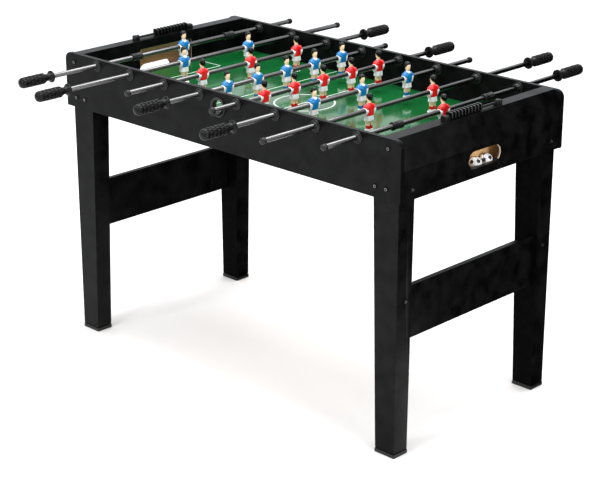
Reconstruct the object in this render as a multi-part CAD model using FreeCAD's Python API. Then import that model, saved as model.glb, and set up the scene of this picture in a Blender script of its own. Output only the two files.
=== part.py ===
import FreeCAD, Part
import math
import os

# Foosball table: a box of boards on four tapered legs, eight playing rods, two
# scorers and two balls.  Millimetres, +Z up.  The origin is on the floor under the
# middle of the table, +X runs along the table to its right end, +Y to the back.

V = FreeCAD.Vector

# ---- overall size ----
TABLE_LENGTH = 1210.0
TABLE_WIDTH = 620.0
TABLE_HEIGHT = 810.0
BOARD = 12.0                       # thickness of every flat board

# ---- box of boards ----
SIDE_HEIGHT = 150.0
SIDE_CORNER_RADIUS = 20.0
SIDE_BOTTOM = TABLE_HEIGHT - SIDE_HEIGHT
SIDE_INNER_Y = TABLE_WIDTH / 2 - BOARD
END_OUTER_X = 603.0                # outer face of the upright end boards
END_INNER_X = END_OUTER_X - BOARD
END_SEAM_Z = 735.0                 # upright end board below, sloping apron above
APRON_TOP_X = 580.0                # outer edge of the apron at the very top
APRON_RAIL_BOTTOM = 775.0          # the apron is a solid rail above this height
GOAL_FACE_X = 545.0                # face of the goal wall toward the field
GOAL_BACK_X = GOAL_FACE_X + BOARD
GOAL_WALL_TOP = TABLE_HEIGHT - 12.0
GOAL_HALF_WIDTH = 97.0
GOAL_TOP_Z = 786.0
GOAL_CORNER_RADIUS = 8.0
FIELD_TOP = 721.0
FIELD_UNDER = FIELD_TOP - BOARD

# ---- ball return in each end ----
RETURN_WIDTH = 122.0
RETURN_HEIGHT = 44.0
RETURN_Z = 705.0
TRAY_HALF_LENGTH = 150.0
TRAY_FLOOR_Z = 665.0
TRAY_CHEEK = 8.0
GOAL_SKIRT_HALF_WIDTH = 236.0      # the goal wall narrows below the field, between the legs
GOAL_SKIRT_BOTTOM = SIDE_BOTTOM

# ---- legs, stretchers, feet ----
LEG_OUTER_X = END_INNER_X
LEG_OUTER_Y = SIDE_INNER_Y
LEG_WIDTH_TOP = 80.0               # along the table, tapering on the inner face
LEG_WIDTH_FOOT = 61.0
LEG_DEPTH_TOP = 56.0               # across the table, tapering on the inner face
LEG_DEPTH_FOOT = 48.0
LEG_WALL = 10.0
LEG_TOP_Z = FIELD_UNDER
FOOT_HEIGHT = 12.0
FOOT_OVERHANG = 1.0
FOOT_GROOVE_HEIGHT = 2.0
FOOT_GROOVE_INSET = 1.5
FOOT_PLUG_HEIGHT = 10.0
FOOT_PLUG_GAP = 0.3
STRETCHER_TOP = 432.0
STRETCHER_BOTTOM = 296.0
STRETCHER_OUTER_X = 578.0
STRETCHER_THICK = 15.0
TENON_Z = 405.0
TENON_HEIGHT = 50.0
TENON_REACH = 32.0

# ---- rods ----
ROD_HEIGHT = 793.0
ROD_PITCH = 134.4
ROD_RADIUS = 6.35
ROD_WALL = 1.2
RUNNING_GAP = 0.07                 # radial, between a rod and what turns or slides on it
BORE_RADIUS = ROD_RADIUS + RUNNING_GAP
# number: (team, player count, player spacing, grip tip, cap end)
# team -1 stands at the front of the table and faces +X, team +1 at the back and faces -X
RODS = {
    1: (-1, 1, 0.0, 567.0, 428.0),
    2: (-1, 2, 240.0, 618.0, 490.0),
    3: (+1, 3, 176.0, 553.0, 439.0),
    4: (-1, 5, 107.0, 524.0, 399.0),
    5: (+1, 5, 107.0, 524.0, 399.0),
    6: (-1, 3, 176.0, 553.0, 439.0),
    7: (+1, 2, 240.0, 618.0, 490.0),
    8: (+1, 1, 0.0, 567.0, 428.0),
}
HANDLE_LENGTH = 104.0
HANDLE_SOCKET = 50.0
HANDLE_DISC_RADIUS = 16.0
HANDLE_GRIP_RADIUS = 14.5
HANDLE_TIP = 17.0                  # length of the domed tip
HANDLE_NECK = 27.0                 # length of the neck with the hand guard disc
HANDLE_FLUTE_DEPTH = 1.4
HANDLE_FLUTES = 12
CAP_LENGTH = 12.0
CAP_RADIUS = 8.0
CAP_SOCKET = 9.0
END_PLAY = 0.5                     # between the end of a tube and the bottom of its socket
COLLAR_INNER = 156.0
COLLAR_OUTER = 189.0
COLLAR_RADIUS = 10.5

# ---- bushings that carry the rods in the side panels ----
BUSH_FLANGE_RADIUS = 15.5
BUSH_FLANGE = 3.0
BUSH_BARREL_RADIUS = 10.8
BUSH_HOLE_RADIUS = 11.0
BUSH_NOSE_RADIUS = 9.8             # hub outside the panel
BUSH_NOSE = 7.5
BUSH_HUB_RADIUS = 11.0             # hub inside the panel
BUSH_HUB = 15.0

# ---- ball entry cup in the front side panel ----
CUP_Z = 772.0
CUP_HOLE_RADIUS = 21.0
CUP_BARREL_RADIUS = 20.8
CUP_BORE_RADIUS = 18.5
CUP_FLANGE_RADIUS = 26.0
CUP_FLANGE = 3.0
CUP_LIP_REACH = 18.0

# ---- scorers on the end rails ----
SCORER_X = 566.0
SCORER_FRONT_Y = -115.5
SCORER_BACK_Y = 97.5
SCORER_POST_WIDTH = 18.0
SCORER_POST_HEIGHT = 18.0
SCORER_BLOCK = 9.0                 # length of the outer block of a post
SCORER_COLLAR = 7.0                # length of the arched collar on its inner side
SCORER_COLLAR_RADIUS = 8.0
SCORER_BAR_RADIUS = 2.7
SCORER_BAR_Z = TABLE_HEIGHT + 14.5
PLATE_COUNT = 10
PLATE_THICK = 9.0
PLATE_PITCH = 12.2
PLATE_HALF = 10.5                  # half the width and half the height of a plate
PLATE_CORNER = 4.4
PLATE_START_GAP = 2.0

# ---- balls ----
BALL_RADIUS = 16.5
BALL_LIFT = 0.3
BALL_X = (GOAL_BACK_X + END_INNER_X) / 2
BALL_YS = (1.0, 42.0)

# ---- bolts ----
BOLT_HEAD_RADIUS = 5.5
BOLT_HEAD_HEIGHT = 3.6
BOLT_SHANK_RADIUS = 3.0
BOLT_HOLE_RADIUS = 3.2
BOLT_LENGTH = 20.0
BOLT_SOCKET_RADIUS = 2.6
BOLT_SOCKET_DEPTH = 2.0
SIDE_BOLTS = [(567.0, 786.0), (563.0, 688.0), (528.5, 688.0)]    # |x|, z on each side panel
END_BOLT_Y = 267.0
END_BOLT_Z = 686.0
LEG_SCREW_Y = 268.0
LEG_SCREW_LENGTH = 24.0


def box(x0, x1, y0, y1, z0, z1):
    return Part.makeBox(x1 - x0, y1 - y0, z1 - z0, V(x0, y0, z0))


def cyl(radius, length, base, axis):
    return Part.makeCylinder(radius, length, V(*base), V(*axis))


def prism(points, move):
    """Extrude a closed outline of 3-D points along a vector."""
    wire = Part.makePolygon([V(*p) for p in points] + [V(*points[0])])
    return Part.Face(wire).extrude(V(*move))


def revolve_y(profile, base_y):
    """Turn a (y, radius) outline about the Y axis through the origin."""
    points = [V(0, base_y + y, r) for y, r in profile]
    face = Part.Face(Part.makePolygon(points + [points[0]]))
    return face.revolve(V(0, 0, 0), V(0, 1, 0), 360)


def mirror_x(shape):
    return shape.mirror(V(0, 0, 0), V(1, 0, 0))


def mirror_y(shape):
    return shape.mirror(V(0, 0, 0), V(0, 1, 0))


def rod_x(number):
    return (number - 4.5) * ROD_PITCH


def save(shape, name):
    os.makedirs("parts", exist_ok=True)
    shape.exportStep("parts/" + name + ".step")


# ---- side panels ----

def side_panel(front):
    """One long board with rounded upper corners, drilled for rods and bolts."""
    r = SIDE_CORNER_RADIUS
    y0 = -TABLE_WIDTH / 2 if front else SIDE_INNER_Y
    half = TABLE_LENGTH / 2
    board = box(-half, half, y0, y0 + BOARD, SIDE_BOTTOM, TABLE_HEIGHT)
    corners = [e for e in board.Edges
               if abs(e.Vertexes[0].Z - TABLE_HEIGHT) < 0.01
               and abs(e.Vertexes[1].Z - TABLE_HEIGHT) < 0.01
               and abs(e.Vertexes[0].X - e.Vertexes[1].X) < 0.01]
    board = board.makeFillet(r, corners)
    holes = [cyl(BUSH_HOLE_RADIUS, BOARD, (rod_x(n), y0, ROD_HEIGHT), (0, 1, 0)) for n in RODS]
    for x, z in SIDE_BOLTS:
        for sign in (-1, 1):
            holes.append(cyl(BOLT_HOLE_RADIUS, BOARD, (sign * x, y0, z), (0, 1, 0)))
    if front:
        holes.append(cyl(CUP_HOLE_RADIUS, BOARD, (0, y0, CUP_Z), (0, 1, 0)))
    return board.cut(Part.makeCompound(holes))


save(side_panel(True), "side_panel_front")
save(side_panel(False), "side_panel_back")


# ---- ends of the box ----

def stadium_cutter(width, height, centre_z, x0, depth):
    """Long hole with round ends, running along X."""
    r = height / 2
    straight = width / 2 - r
    body = box(x0, x0 + depth, -straight, straight, centre_z - r, centre_z + r)
    for y in (-straight, straight):
        body = body.fuse(cyl(r, depth, (x0, y, centre_z), (1, 0, 0)))
    return body.removeSplitter()


def end_board():
    """Upright lower board of the right end, with the ball return hole."""
    board = box(END_INNER_X, END_OUTER_X, -SIDE_INNER_Y, SIDE_INNER_Y, SIDE_BOTTOM, END_SEAM_Z)
    board = board.cut(stadium_cutter(RETURN_WIDTH, RETURN_HEIGHT, RETURN_Z, END_INNER_X, BOARD))
    for sign in (-1, 1):
        board = board.cut(cyl(BOLT_HOLE_RADIUS, BOARD, (END_INNER_X, sign * END_BOLT_Y, END_BOLT_Z),
                              (1, 0, 0)))
    return board


def apron():
    """Rail over the goal wall that leans outward down to the upright end board."""
    run = END_OUTER_X - APRON_TOP_X
    rise = TABLE_HEIGHT - END_SEAM_Z
    slope_x = BOARD * math.hypot(run, rise) / rise     # board thickness measured along X
    inner_x_rail = END_OUTER_X - run * (APRON_RAIL_BOTTOM - END_SEAM_Z) / rise - slope_x
    outline = [(GOAL_FACE_X, TABLE_HEIGHT), (APRON_TOP_X, TABLE_HEIGHT),
               (END_OUTER_X, END_SEAM_Z), (END_OUTER_X - slope_x, END_SEAM_Z),
               (inner_x_rail, APRON_RAIL_BOTTOM), (GOAL_BACK_X, APRON_RAIL_BOTTOM),
               (GOAL_BACK_X, GOAL_WALL_TOP), (GOAL_FACE_X, GOAL_WALL_TOP)]
    solid = prism([(x, -SIDE_INNER_Y, z) for x, z in outline], (0, 2 * SIDE_INNER_Y, 0))
    x, z = SIDE_BOLTS[0]
    for sign in (-1, 1):
        depth = BOLT_LENGTH - BOARD
        solid = solid.cut(cyl(BOLT_SHANK_RADIUS, depth, (x, sign * SIDE_INNER_Y, z), (0, -sign, 0)))
    return solid


def goal_wall():
    """Wall at the end of the field with the goal mouth; it narrows between the legs."""
    s, t = SIDE_INNER_Y, GOAL_SKIRT_HALF_WIDTH
    outline = [(-s, GOAL_WALL_TOP), (s, GOAL_WALL_TOP), (s, FIELD_UNDER), (t, FIELD_UNDER),
               (t, GOAL_SKIRT_BOTTOM), (-t, GOAL_SKIRT_BOTTOM), (-t, FIELD_UNDER), (-s, FIELD_UNDER)]
    wall = prism([(GOAL_FACE_X, y, z) for y, z in outline], (BOARD, 0, 0))
    mouth = box(GOAL_FACE_X, GOAL_BACK_X, -GOAL_HALF_WIDTH, GOAL_HALF_WIDTH, FIELD_TOP, GOAL_TOP_Z)
    upper = [e for e in mouth.Edges
             if min(v.Z for v in e.Vertexes) > GOAL_TOP_Z - 0.01
             and max(v.X for v in e.Vertexes) - min(v.X for v in e.Vertexes) > 1.0]
    return wall.cut(mouth.makeFillet(GOAL_CORNER_RADIUS, upper))


def ball_tray():
    """Shelf behind the goal wall with a cheek at each end; balls roll here after a goal."""
    floor = box(GOAL_BACK_X, END_INNER_X, -TRAY_HALF_LENGTH, TRAY_HALF_LENGTH,
                SIDE_BOTTOM, TRAY_FLOOR_Z)
    cheek_y = TRAY_HALF_LENGTH - TRAY_CHEEK
    cheek = box(GOAL_BACK_X, END_INNER_X, cheek_y, TRAY_HALF_LENGTH, TRAY_FLOOR_Z, FIELD_UNDER)
    return floor.fuse([cheek, mirror_y(cheek)]).removeSplitter()


for make, name in ((end_board, "end_board"), (apron, "apron"), (goal_wall, "goal_wall")):
    right = make()
    save(right, name + "_right")
    save(mirror_x(right), name + "_left")
tray = ball_tray()
save(Part.makeCompound([tray, mirror_x(tray)]), "ball_trays")
save(box(-GOAL_FACE_X, GOAL_FACE_X, -SIDE_INNER_Y, SIDE_INNER_Y, FIELD_UNDER, FIELD_TOP), "playfield")


# ---- legs, feet and stretchers (built for the back right corner, then mirrored) ----

def leg_taper(foot, top, z):
    """Size of the leg at height z, between its size at the foot and at the top."""
    return foot + (top - foot) * (z - FOOT_HEIGHT) / (LEG_TOP_Z - FOOT_HEIGHT)


def leg_inner_y(z):
    return LEG_OUTER_Y - leg_taper(LEG_DEPTH_FOOT, LEG_DEPTH_TOP, z)


def leg_block(inset):
    """Tapered upright block; both inner faces lean, both outer faces are upright."""
    x_out, y_out = LEG_OUTER_X - inset, LEG_OUTER_Y - inset
    wires = []
    for z in (FOOT_HEIGHT, LEG_TOP_Z):
        x_in = LEG_OUTER_X - leg_taper(LEG_WIDTH_FOOT, LEG_WIDTH_TOP, z) + inset
        y_in = leg_inner_y(z) + inset
        corners = [V(x_in, y_in, z), V(x_out, y_in, z), V(x_out, y_out, z), V(x_in, y_out, z)]
        wires.append(Part.makePolygon(corners + [corners[0]]))
    return Part.makeLoft(wires, True, True)


def leg():
    """Hollow leg folded from board, drilled for its bolts and slotted for the stretcher."""
    body = leg_block(0.0).cut(leg_block(LEG_WALL))
    for x, z in SIDE_BOLTS[1:]:
        body = body.cut(cyl(BOLT_SHANK_RADIUS, LEG_WALL, (x, LEG_OUTER_Y, z), (0, -1, 0)))
    body = body.cut(cyl(BOLT_SHANK_RADIUS, LEG_WALL, (LEG_OUTER_X, END_BOLT_Y, END_BOLT_Z), (-1, 0, 0)))
    body = body.cut(cyl(BOLT_SHANK_RADIUS, LEG_WALL, (LEG_OUTER_X, LEG_SCREW_Y, TENON_Z), (-1, 0, 0)))
    slot = box(STRETCHER_OUTER_X - STRETCHER_THICK, STRETCHER_OUTER_X,
               leg_inner_y(LEG_TOP_Z), leg_inner_y(FOOT_HEIGHT) + LEG_WALL,
               TENON_Z - TENON_HEIGHT / 2, TENON_Z + TENON_HEIGHT / 2)
    return body.cut(slot)


def foot_cap():
    """Plastic cap under a leg with a groove below the leg and a plug inside it."""
    def slab(grow, z0, z1):
        return box(LEG_OUTER_X - LEG_WIDTH_FOOT - grow, LEG_OUTER_X + grow,
                   LEG_OUTER_Y - LEG_DEPTH_FOOT - grow, LEG_OUTER_Y + grow, z0, z1)
    neck_z = FOOT_HEIGHT - FOOT_GROOVE_HEIGHT
    plug_top = FOOT_HEIGHT + FOOT_PLUG_HEIGHT
    cap = slab(FOOT_OVERHANG, 0.0, neck_z)
    cap = cap.fuse(slab(-FOOT_GROOVE_INSET, neck_z, FOOT_HEIGHT))
    return cap.fuse(slab(-(LEG_WALL + FOOT_PLUG_GAP), FOOT_HEIGHT, plug_top))


def stretcher():
    """Wide board between two legs; its ends lean with the legs and carry a tenon each."""
    x0 = STRETCHER_OUTER_X - STRETCHER_THICK
    low, high = leg_inner_y(STRETCHER_BOTTOM), leg_inner_y(STRETCHER_TOP)
    outline = [(-low, STRETCHER_BOTTOM), (low, STRETCHER_BOTTOM), (high, STRETCHER_TOP), (-high, STRETCHER_TOP)]
    board = prism([(x0, y, z) for y, z in outline], (STRETCHER_THICK, 0, 0))
    z0, z1 = TENON_Z - TENON_HEIGHT / 2, TENON_Z + TENON_HEIGHT / 2
    reach = leg_inner_y(TENON_Z) + TENON_REACH
    board = board.fuse(box(x0, STRETCHER_OUTER_X, -reach, reach, z0, z1)).removeSplitter()
    for sign in (-1, 1):
        depth = LEG_SCREW_LENGTH - (LEG_OUTER_X - STRETCHER_OUTER_X)
        board = board.cut(cyl(BOLT_SHANK_RADIUS, depth, (STRETCHER_OUTER_X, sign * LEG_SCREW_Y, TENON_Z),
                              (-1, 0, 0)))
    return board


back_right = leg()
save(back_right, "leg_back_right")
save(mirror_x(back_right), "leg_back_left")
save(mirror_y(back_right), "leg_front_right")
save(mirror_x(mirror_y(back_right)), "leg_front_left")
cap = foot_cap()
save(Part.makeCompound([cap, mirror_x(cap), mirror_y(cap), mirror_x(mirror_y(cap))]), "foot_caps")
right_stretcher = stretcher()
save(right_stretcher, "stretcher_right")
save(mirror_x(right_stretcher), "stretcher_left")


# ---- bolts and screws ----

def bolt(point, direction, length):
    """Pan-head bolt with a hexagon socket; the head sits on the point, the shank goes along."""
    p, d = V(*point), V(*direction)
    head = Part.makeCylinder(BOLT_HEAD_RADIUS, BOLT_HEAD_HEIGHT, p - d * BOLT_HEAD_HEIGHT, d)
    head = head.fuse(Part.makeCylinder(BOLT_SHANK_RADIUS, length, p, d))
    side = V(0, 0, 1)
    across = d.cross(side)
    corners = []
    for i in range(7):
        a = math.radians(60 * i)
        corners.append(p - d * BOLT_HEAD_HEIGHT + side * (BOLT_SOCKET_RADIUS * math.cos(a))
                       + across * (BOLT_SOCKET_RADIUS * math.sin(a)))
    socket = Part.Face(Part.makePolygon(corners)).extrude(d * BOLT_SOCKET_DEPTH)
    return head.cut(socket)


bolts = []
for sx in (-1, 1):
    for sy in (-1, 1):
        for x, z in SIDE_BOLTS:
            bolts.append(bolt((sx * x, sy * TABLE_WIDTH / 2, z), (0, -sy, 0), BOLT_LENGTH))
        bolts.append(bolt((sx * END_OUTER_X, sy * END_BOLT_Y, END_BOLT_Z), (-sx, 0, 0), BOLT_LENGTH))
        bolts.append(bolt((sx * LEG_OUTER_X, sy * LEG_SCREW_Y, TENON_Z), (-sx, 0, 0), LEG_SCREW_LENGTH))
save(Part.makeCompound(bolts), "fasteners")


# ---- bushings ----

def bushing(y_sign, x):
    """Outer flange with nose and barrel through the panel, and an inner nut with a hub."""
    face = TABLE_WIDTH / 2
    outer = cyl(BUSH_FLANGE_RADIUS, BUSH_FLANGE, (0, face, 0), (0, 1, 0))
    outer = outer.fuse(cyl(BUSH_NOSE_RADIUS, BUSH_NOSE, (0, face, 0), (0, 1, 0)))
    outer = outer.fuse(cyl(BUSH_BARREL_RADIUS, BOARD, (0, face - BOARD, 0), (0, 1, 0)))
    inner = cyl(BUSH_FLANGE_RADIUS, BUSH_FLANGE, (0, face - BOARD - BUSH_FLANGE, 0), (0, 1, 0))
    inner = inner.fuse(cyl(BUSH_HUB_RADIUS, BUSH_HUB, (0, face - BOARD - BUSH_HUB, 0), (0, 1, 0)))
    bore = cyl(BORE_RADIUS, 60.0, (0, face - BOARD - 30.0, 0), (0, 1, 0))
    halves = []
    for half in (outer, inner):
        half = half.cut(bore)
        if y_sign < 0:
            half = mirror_y(half)
        half.translate(V(x, 0, ROD_HEIGHT))
        halves.append(half)
    return halves


bushings = []
for number in RODS:
    bushings += bushing(-1, rod_x(number)) + bushing(1, rod_x(number))
save(Part.makeCompound(bushings), "rod_bushings")


# ---- ball entry cup ----

def entry_cup():
    """Ring through the front panel with a half-round lip below that guides the ball in."""
    y_out = -TABLE_WIDTH / 2
    ring = cyl(CUP_FLANGE_RADIUS, CUP_FLANGE, (0, y_out, CUP_Z), (0, -1, 0))
    ring = ring.fuse(cyl(CUP_BARREL_RADIUS, BOARD + CUP_FLANGE, (0, y_out - CUP_FLANGE, CUP_Z), (0, 1, 0)))
    lip = cyl(CUP_BARREL_RADIUS, CUP_LIP_REACH, (0, y_out, CUP_Z), (0, -1, 0))
    keep = box(-CUP_FLANGE_RADIUS, CUP_FLANGE_RADIUS, y_out - CUP_LIP_REACH, y_out,
               CUP_Z - CUP_FLANGE_RADIUS, CUP_Z - 4.0)
    ring = ring.fuse(lip.common(keep))
    return ring.cut(cyl(CUP_BORE_RADIUS, 80.0, (0, y_out - 50.0, CUP_Z), (0, 1, 0))).removeSplitter()


save(entry_cup(), "ball_entry_cup")


# ---- rods with handles, caps and stop collars ----

def handle():
    """Grip with a hand guard disc, socket opening toward +Y, domed tip toward -Y."""
    length, disc, grip_radius = HANDLE_LENGTH, HANDLE_DISC_RADIUS, HANDLE_GRIP_RADIUS
    neck_y = length - HANDLE_NECK
    neck = revolve_y([(length, 0.0), (length, disc - 1.0), (length - 1.0, disc), (length - 4.0, disc),
                      (length - 5.0, 10.5), (length - 16.0, 9.0), (neck_y, grip_radius - 1.0),
                      (neck_y, 0.0)], 0.0)
    tip = revolve_y([(0.0, 0.0), (0.0, 5.0), (2.0, 9.5), (7.0, 13.0), (12.0, grip_radius - 0.4),
                     (HANDLE_TIP, grip_radius - 1.0), (HANDLE_TIP, 0.0)], 0.0)
    points = []
    for i in range(HANDLE_FLUTES):
        for share, depth in ((0.0, 0.0), (0.55, 0.0), (0.65, HANDLE_FLUTE_DEPTH), (0.9, HANDLE_FLUTE_DEPTH)):
            a = 2 * math.pi * (i + share) / HANDLE_FLUTES
            r = grip_radius - depth
            points.append((r * math.cos(a), HANDLE_TIP, r * math.sin(a)))
    grip = prism(points, (0, neck_y - HANDLE_TIP, 0))
    body = neck.fuse([tip, grip])
    socket = cyl(BORE_RADIUS, HANDLE_SOCKET, (0, length - HANDLE_SOCKET, 0), (0, 1, 0))
    return body.cut(socket)


def end_cap():
    """Small closed cap on the plain end of a rod, socket opening toward -Y."""
    body = revolve_y([(0.0, BORE_RADIUS), (0.0, CAP_RADIUS), (CAP_LENGTH - 3.0, CAP_RADIUS),
                      (CAP_LENGTH, CAP_RADIUS - 3.0), (CAP_LENGTH, 0.0), (CAP_SOCKET, 0.0),
                      (CAP_SOCKET, BORE_RADIUS)], 0.0)
    return body


def stop_collar():
    """Ribbed sleeve with a flange at each end, bored for the rod."""
    span = COLLAR_OUTER - COLLAR_INNER
    r = COLLAR_RADIUS
    return revolve_y([(0.0, BORE_RADIUS), (0.0, r), (5.0, r), (6.0, r - 1.8), (span - 6.0, r - 1.8),
                      (span - 5.0, r), (span, r), (span, BORE_RADIUS)], 0.0)


def figure():
    """Player facing +X on a rod through the chest: octagonal sections joined head to foot."""
    # height, forward offset, half depth, half width, corner cut
    levels = [(-56.0, 2.0, 10.5, 8.3, 1.8), (-50.0, 1.5, 10.8, 8.5, 2.5), (-46.0, -0.5, 6.8, 8.0, 2.2),
              (-39.0, -0.5, 6.0, 7.5, 2.2), (-31.0, 0.0, 6.6, 8.8, 2.6), (-30.0, 0.0, 9.0, 13.0, 3.0),
              (-14.0, 0.0, 8.8, 12.0, 3.4), (-9.0, 0.0, 9.0, 17.0, 4.0), (0.0, 0.0, 9.0, 17.5, 4.2),
              (9.0, 0.0, 9.0, 16.5, 4.5), (17.0, 0.0, 8.0, 14.0, 4.5), (21.5, 0.0, 5.2, 5.6, 2.2),
              (24.0, 0.5, 6.0, 5.2, 2.2), (29.0, 0.8, 8.6, 7.0, 3.4), (38.0, 0.5, 9.0, 7.5, 3.6),
              (44.0, 0.0, 7.4, 6.0, 3.2), (47.5, -0.5, 4.0, 3.4, 1.8)]
    wires = []
    for z, cx, dx, dy, c in levels:
        outline = [(dx, dy - c), (dx - c, dy), (-dx + c, dy), (-dx, dy - c),
                   (-dx, -dy + c), (-dx + c, -dy), (dx - c, -dy), (dx, -dy + c)]
        points = [V(cx + x, y, z) for x, y in outline]
        wires.append(Part.makePolygon(points + [points[0]]))
    body = Part.makeLoft(wires, True, True)
    return body.cut(cyl(BORE_RADIUS, 60.0, (0, -30.0, 0), (0, 1, 0)))


one_handle, one_cap, one_collar, one_figure = handle(), end_cap(), stop_collar(), figure()


def place(shape, number, team, y):
    """Move a shape built for a front-team rod to rod `number`; the back team is turned round."""
    moved = shape.copy()
    if team > 0:
        moved.rotate(V(0, 0, 0), V(0, 0, 1), 180)
    moved.translate(V(rod_x(number), y, ROD_HEIGHT))
    return moved


for number, (team, count, spacing, tip, cap_end) in RODS.items():
    tube_grip_end = tip - (HANDLE_LENGTH - HANDLE_SOCKET) - END_PLAY
    tube_cap_end = cap_end - (CAP_LENGTH - CAP_SOCKET) - END_PLAY
    tube = cyl(ROD_RADIUS, tube_grip_end + tube_cap_end, (0, -tube_grip_end, 0), (0, 1, 0))
    tube = tube.cut(cyl(ROD_RADIUS - ROD_WALL, tube_grip_end + tube_cap_end, (0, -tube_grip_end, 0),
                        (0, 1, 0)))
    save(place(tube, number, team, 0.0), "rod_%d" % number)
    save(place(one_handle, number, team, team * tip), "handle_%d" % number)
    save(place(one_cap, number, team, -team * (cap_end - CAP_LENGTH)), "end_cap_%d" % number)
    figures = [place(one_figure, number, team, (i - (count - 1) / 2) * spacing) for i in range(count)]
    save(Part.makeCompound(figures), "players_%d" % number)
    if count == 1:
        collars = [place(one_collar, number, -1, COLLAR_INNER), place(one_collar, number, -1, -COLLAR_OUTER)]
        save(Part.makeCompound(collars), "stop_collars_%d" % number)


# ---- scorers ----

def scorer_post(y_out, inward):
    """Block standing on the rail with an arched collar on its inner side."""
    w = SCORER_POST_WIDTH / 2
    y_mid = y_out + inward * SCORER_BLOCK
    y_in = y_mid + inward * SCORER_COLLAR
    z0 = TABLE_HEIGHT
    block = box(SCORER_X - w, SCORER_X + w, min(y_out, y_mid), max(y_out, y_mid), z0, z0 + SCORER_POST_HEIGHT)
    r = SCORER_COLLAR_RADIUS
    arch_z = z0 + SCORER_POST_HEIGHT - r
    foot = box(SCORER_X - r, SCORER_X + r, min(y_mid, y_in), max(y_mid, y_in), z0, arch_z)
    arch = cyl(r, SCORER_COLLAR, (SCORER_X, y_mid, arch_z), (0, inward, 0))
    return block.fuse([foot, arch])


def scorer_frame():
    """A post at each end of the rail and the bar the plates slide on."""
    bar_y = SCORER_FRONT_Y + SCORER_BLOCK / 2
    bar = cyl(SCORER_BAR_RADIUS, SCORER_BACK_Y - SCORER_BLOCK / 2 - bar_y, (SCORER_X, bar_y, SCORER_BAR_Z),
              (0, 1, 0))
    return bar.fuse([scorer_post(SCORER_FRONT_Y, 1), scorer_post(SCORER_BACK_Y, -1)]).removeSplitter()


def scorer_plates():
    """Ten eight-sided plates pushed together at the front end of the bar."""
    plates = []
    bore = SCORER_BAR_RADIUS + RUNNING_GAP
    h, c = PLATE_HALF, PLATE_CORNER
    outline = [(h, -h + c), (h, h - c), (h - c, h), (-h + c, h),
               (-h, h - c), (-h, -h + c), (-h + c, -h), (h - c, -h)]
    first_y = SCORER_FRONT_Y + SCORER_BLOCK + SCORER_COLLAR + PLATE_START_GAP
    for i in range(PLATE_COUNT):
        y0 = first_y + i * PLATE_PITCH
        plate = prism([(SCORER_X + x, y0, SCORER_BAR_Z + z) for x, z in outline], (0, PLATE_THICK, 0))
        plates.append(plate.cut(cyl(bore, PLATE_THICK, (SCORER_X, y0, SCORER_BAR_Z), (0, 1, 0))))
    return Part.makeCompound(plates)


def half_turn(shape):
    """The same piece on the other end of the table, turned round the middle."""
    turned = shape.copy()
    turned.rotate(V(0, 0, 0), V(0, 0, 1), 180)
    return turned


frame, plates = scorer_frame(), scorer_plates()
save(frame, "scorer_frame_right")
save(plates, "scorer_beads_right")
save(half_turn(frame), "scorer_frame_left")
save(half_turn(plates), "scorer_beads_left")


# ---- balls waiting in the right-hand return ----

for index, y in enumerate(BALL_YS, start=1):
    centre = V(BALL_X, y, TRAY_FLOOR_Z + BALL_LIFT + BALL_RADIUS)
    save(Part.makeSphere(BALL_RADIUS, centre), "ball_%d" % index)
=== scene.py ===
# %% [markdown]
# # A foosball table, piece by piece
# The table arrives as plain solids in their places. Every piece gets its finish, and
# finer meshes replace the small parts: players, grips, caps, bushings, scorers, ball cup,
# bolts and balls. +Z is up and +X runs to the table's right end.

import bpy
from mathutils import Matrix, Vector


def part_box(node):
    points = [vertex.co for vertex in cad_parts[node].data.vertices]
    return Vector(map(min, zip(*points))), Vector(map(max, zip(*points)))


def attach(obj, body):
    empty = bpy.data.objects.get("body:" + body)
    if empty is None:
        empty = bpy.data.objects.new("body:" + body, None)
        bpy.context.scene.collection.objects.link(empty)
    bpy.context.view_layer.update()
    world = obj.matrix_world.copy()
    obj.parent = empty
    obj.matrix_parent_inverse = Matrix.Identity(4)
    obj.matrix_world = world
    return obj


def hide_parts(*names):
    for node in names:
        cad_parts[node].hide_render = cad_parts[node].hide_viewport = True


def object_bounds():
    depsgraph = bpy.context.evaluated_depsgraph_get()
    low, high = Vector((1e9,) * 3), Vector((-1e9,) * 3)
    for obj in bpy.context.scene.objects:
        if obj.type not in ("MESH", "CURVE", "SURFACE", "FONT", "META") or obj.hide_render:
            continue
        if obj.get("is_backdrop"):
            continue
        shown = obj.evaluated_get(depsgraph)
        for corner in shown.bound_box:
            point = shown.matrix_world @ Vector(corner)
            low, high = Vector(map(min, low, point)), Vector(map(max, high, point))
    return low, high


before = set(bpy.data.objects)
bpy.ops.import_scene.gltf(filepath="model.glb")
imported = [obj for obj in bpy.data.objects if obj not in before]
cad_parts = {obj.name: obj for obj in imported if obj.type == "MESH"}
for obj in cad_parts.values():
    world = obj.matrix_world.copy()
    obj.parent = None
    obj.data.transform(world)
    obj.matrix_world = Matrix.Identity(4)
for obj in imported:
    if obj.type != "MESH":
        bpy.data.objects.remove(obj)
cad_box = [list(corner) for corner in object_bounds()]
print("solids loaded:", len(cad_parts))

# %% [markdown]
# ## Camera
# A table this long looks natural from about four and a half metres with a long lens, and
# from two metres up, so that the whole field shows. A short lens close by would spread
# the near corner.

# %% Set up the camera
import bpy
import bmesh
import math
from mathutils import Matrix, Vector

MM = 0.001
LOOK_DOWN, LOOK_ROUND = 20.24, 44.25
scene = bpy.context.scene
camera_data = bpy.data.cameras.new("camera")
camera_data.lens = 103.41
camera_data.sensor_width = 36.0
camera_data.clip_end = 200.0
camera = bpy.data.objects.new("camera", camera_data)
camera.location = (3.04155, -3.13934, 1.95115)
camera.rotation_euler = (math.radians(90.0 - LOOK_DOWN), 0.0, math.radians(LOOK_ROUND))
scene.collection.objects.link(camera)
scene.camera = camera
print("camera at", tuple(round(v, 2) for v in camera.location))

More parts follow.
